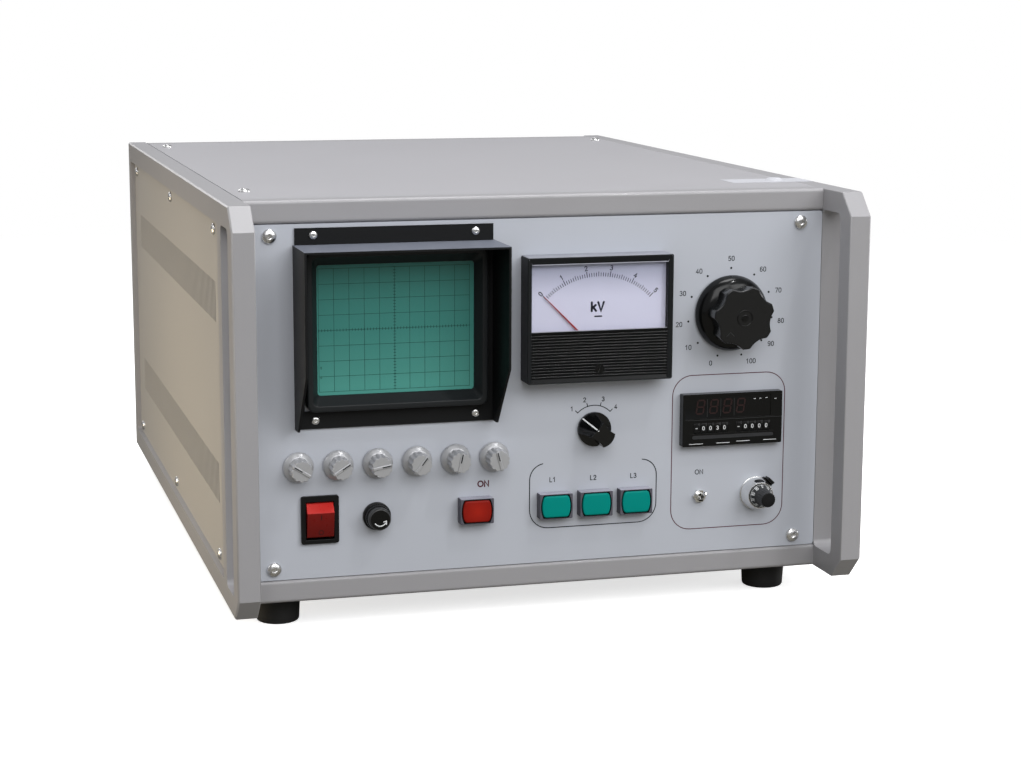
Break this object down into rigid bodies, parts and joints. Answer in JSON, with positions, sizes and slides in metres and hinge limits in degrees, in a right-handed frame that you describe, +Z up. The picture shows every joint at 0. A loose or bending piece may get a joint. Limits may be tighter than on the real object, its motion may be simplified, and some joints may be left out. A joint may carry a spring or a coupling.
{
  "type": "surge tester",
  "caption": "Bench surge tester with a hooded picture tube, pointer meter, comparator and controls between two grip-slotted side frames.",
  "frame": {"origin": "centre of the bounding box on the plane that the rubber feet stand on", "axes": "+Z up, -Y out of the front panel towards the operator, +X to the operator's right"},
  "size_m": [0.425, 0.584, 0.2865],
  "materials": {
    "frame_paint": "fine textured warm light grey paint",
    "cover_paint": "fine textured warm light grey paint",
    "panel_paint": "satin cool grey paint",
    "foot_rubber": "matt black",
    "screw_steel": "zinc plated",
    "hood_paint": "satin black paint",
    "bezel_plastic": "dark grey moulded",
    "graticule_green": "teal green acrylic",
    "tube_glass": "clear glass",
    "black_gloss": "gloss black",
    "clear_glass": "clear glass",
    "dial_card": "white printed plate",
    "needle_red": "red",
    "black_satin": "satin black",
    "brush_brass": "machined",
    "coil_copper": "enamelled copper winding",
    "knob_silver": "silver grey moulded",
    "control_metal": "plated cans",
    "rocker_red": "translucent red",
    "housing_grey": "grey moulded",
    "lens_red": "translucent red",
    "lens_teal": "translucent teal",
    "wheel_white": "black wheels with white numbers",
    "bright_chrome": "polished",
    "core_iron": "varnished laminations",
    "can_paint": "grey paint, light ceramic terminals",
    "board_green": "green laminate"
  },
  "bodies": {
    "case": {"side_frame_left": "frame_paint", "side_frame_right": "frame_paint", "cross_rails": "frame_paint", "top_cover": "cover_paint", "bottom_cover": "cover_paint", "side_panels": "cover_paint", "rear_panel": "cover_paint", "front_panel": "panel_paint", "feet": "foot_rubber", "panel_screws": "screw_steel", "case_screws": "screw_steel", "crt_hood": "hood_paint", "crt_bezel": "bezel_plastic", "graticule": "graticule_green", "crt_tube": "tube_glass", "meter_case": "black_gloss", "comparator_case": "black_gloss", "power_switch": "black_gloss", "fuse_holder": "black_gloss", "meter_glass": "clear_glass", "meter_dial": "dial_card", "mains_inlet": "black_satin", "output_sockets": "black_satin", "variac_coil": "coil_copper", "control_bodies": "control_metal", "button_housings": "housing_grey", "dial_body": "bright_chrome", "power_transformer": "core_iron", "surge_capacitor": "can_paint", "circuit_boards": "board_green"},
    "needle": {"meter_needle": "needle_red"},
    "zero_adjuster": {"zero_screw": "black_gloss"},
    "output_control": {"output_knob": "black_satin", "variac_brush": "brush_brass"},
    "range_control": {"range_knob": "black_satin"},
    "rocker": {"power_rocker": "rocker_red"},
    "fuse_carrier": {"fuse_cap": "black_gloss"},
    "hv_push": {"hv_button": "lens_red"},
    "line_push_1": {"line_button_1": "lens_teal"},
    "line_push_2": {"line_button_2": "lens_teal"},
    "line_push_3": {"line_button_3": "lens_teal"},
    "toggle": {"toggle_lever": "bright_chrome"},
    "turns_knob": {"dial_knob": "black_satin"},
    "turns_lock": {"dial_lock": "black_satin"},
    "intensity_control": {"intensity_knob": "knob_silver"},
    "focus_control": {"focus_knob": "knob_silver"},
    "vertical_control": {"vertical_knob": "knob_silver"},
    "horizontal_control": {"horizontal_knob": "knob_silver"},
    "sweep_control": {"sweep_knob": "knob_silver"},
    "rotation_control": {"rotation_knob": "knob_silver"},
    "high_digit_1": {"high_wheel_1": "wheel_white"},
    "high_digit_2": {"high_wheel_2": "wheel_white"},
    "high_digit_3": {"high_wheel_3": "wheel_white"},
    "high_digit_4": {"high_wheel_4": "wheel_white"},
    "high_digit_5": {"high_wheel_5": "wheel_white"},
    "low_digit_1": {"low_wheel_1": "wheel_white"},
    "low_digit_2": {"low_wheel_2": "wheel_white"},
    "low_digit_3": {"low_wheel_3": "wheel_white"},
    "low_digit_4": {"low_wheel_4": "wheel_white"},
    "low_digit_5": {"low_wheel_5": "wheel_white"}
  },
  "joints": [
    {"name": "needle_swing", "type": "hinge", "parent": "case", "child": "needle", "pos_m": [0.0348, -0.258, 0.1804], "axis": [0, 1, 0], "range_deg": [0, 90], "stiffness_Nm_per_rad": 0.0001, "springref_deg": -45.84},
    {"name": "zero_turn", "type": "hinge", "parent": "case", "child": "zero_adjuster", "pos_m": [0.0348, -0.26, 0.1696], "axis": [0, 1, 0], "range_deg": [-30, 30]},
    {"name": "output_turn", "type": "hinge", "parent": "case", "child": "output_control", "pos_m": [0.1322, -0.26, 0.2012], "axis": [0, 1, 0], "range_deg": [-30, 297]},
    {"name": "range_turn", "type": "hinge", "parent": "case", "child": "range_control", "pos_m": [0.036, -0.25, 0.126], "axis": [0, 1, 0], "range_deg": [0, 96]},
    {"name": "intensity_turn", "type": "hinge", "parent": "case", "child": "intensity_control", "pos_m": [-0.165, -0.25, 0.1108], "axis": [0, 1, 0], "range_deg": [-93, 207]},
    {"name": "focus_turn", "type": "hinge", "parent": "case", "child": "focus_control", "pos_m": [-0.1387, -0.25, 0.1108], "axis": [0, 1, 0], "range_deg": [-208, 92]},
    {"name": "vertical_turn", "type": "hinge", "parent": "case", "child": "vertical_control", "pos_m": [-0.1124, -0.25, 0.1108], "axis": [0, 1, 0], "range_deg": [-230, 70]},
    {"name": "horizontal_turn", "type": "hinge", "parent": "case", "child": "horizontal_control", "pos_m": [-0.0861, -0.25, 0.1108], "axis": [0, 1, 0], "range_deg": [-188, 112]},
    {"name": "sweep_turn", "type": "hinge", "parent": "case", "child": "sweep_control", "pos_m": [-0.0598, -0.25, 0.1108], "axis": [0, 1, 0], "range_deg": [-162, 138]},
    {"name": "rotation_turn", "type": "hinge", "parent": "case", "child": "rotation_control", "pos_m": [-0.0335, -0.25, 0.1108], "axis": [0, 1, 0], "range_deg": [-135, 165]},
    {"name": "rocker_tilt", "type": "hinge", "parent": "case", "child": "rocker", "pos_m": [-0.1512, -0.243, 0.0747], "axis": [1, 0, 0], "range_deg": [0, 20]},
    {"name": "fuse_turn", "type": "hinge", "parent": "case", "child": "fuse_carrier", "pos_m": [-0.1133, -0.25, 0.0753], "axis": [0, 1, 0], "range_deg": [-60, 0]},
    {"name": "hv_push_travel", "type": "slide", "parent": "case", "child": "hv_push", "axis": [0, 1, 0], "range_m": [0, 0.003], "stiffness_N_per_m": 400, "springref_m": -0.001},
    {"name": "line_push_1_travel", "type": "slide", "parent": "case", "child": "line_push_1", "axis": [0, 1, 0], "range_m": [0, 0.003], "stiffness_N_per_m": 400, "springref_m": -0.001},
    {"name": "line_push_2_travel", "type": "slide", "parent": "case", "child": "line_push_2", "axis": [0, 1, 0], "range_m": [0, 0.003], "stiffness_N_per_m": 400, "springref_m": -0.001},
    {"name": "line_push_3_travel", "type": "slide", "parent": "case", "child": "line_push_3", "axis": [0, 1, 0], "range_m": [0, 0.003], "stiffness_N_per_m": 400, "springref_m": -0.001},
    {"name": "high_digit_1_turn", "type": "hinge", "parent": "case", "child": "high_digit_1", "pos_m": [0.1075, -0.244, 0.1236], "axis": [1, 0, 0], "continuous": true},
    {"name": "high_digit_2_turn", "type": "hinge", "parent": "case", "child": "high_digit_2", "pos_m": [0.11255, -0.244, 0.1236], "axis": [1, 0, 0], "continuous": true},
    {"name": "high_digit_3_turn", "type": "hinge", "parent": "case", "child": "high_digit_3", "pos_m": [0.1176, -0.244, 0.1236], "axis": [1, 0, 0], "continuous": true},
    {"name": "high_digit_4_turn", "type": "hinge", "parent": "case", "child": "high_digit_4", "pos_m": [0.12265, -0.244, 0.1236], "axis": [1, 0, 0], "continuous": true},
    {"name": "high_digit_5_turn", "type": "hinge", "parent": "case", "child": "high_digit_5", "pos_m": [0.1277, -0.244, 0.1236], "axis": [1, 0, 0], "continuous": true},
    {"name": "low_digit_1_turn", "type": "hinge", "parent": "case", "child": "low_digit_1", "pos_m": [0.1379, -0.244, 0.1236], "axis": [1, 0, 0], "continuous": true},
    {"name": "low_digit_2_turn", "type": "hinge", "parent": "case", "child": "low_digit_2", "pos_m": [0.14295, -0.244, 0.1236], "axis": [1, 0, 0], "continuous": true},
    {"name": "low_digit_3_turn", "type": "hinge", "parent": "case", "child": "low_digit_3", "pos_m": [0.148, -0.244, 0.1236], "axis": [1, 0, 0], "continuous": true},
    {"name": "low_digit_4_turn", "type": "hinge", "parent": "case", "child": "low_digit_4", "pos_m": [0.15305, -0.244, 0.1236], "axis": [1, 0, 0], "continuous": true},
    {"name": "low_digit_5_turn", "type": "hinge", "parent": "case", "child": "low_digit_5", "pos_m": [0.1581, -0.244, 0.1236], "axis": [1, 0, 0], "continuous": true},
    {"name": "toggle_flip", "type": "hinge", "parent": "case", "child": "toggle", "pos_m": [0.112, -0.247, 0.0753], "axis": [1, 0, 0], "range_deg": [0, 40]},
    {"name": "turns_dial_turn", "type": "hinge", "parent": "case", "child": "turns_knob", "pos_m": [0.1532, -0.25, 0.0753], "axis": [0, 1, 0], "range_deg": [0, 3600]},
    {"name": "turns_lock_turn", "type": "hinge", "parent": "case", "child": "turns_lock", "pos_m": [0.1532, -0.25, 0.0753], "axis": [0, 1, 0], "range_deg": [0, 40]}
  ]
}
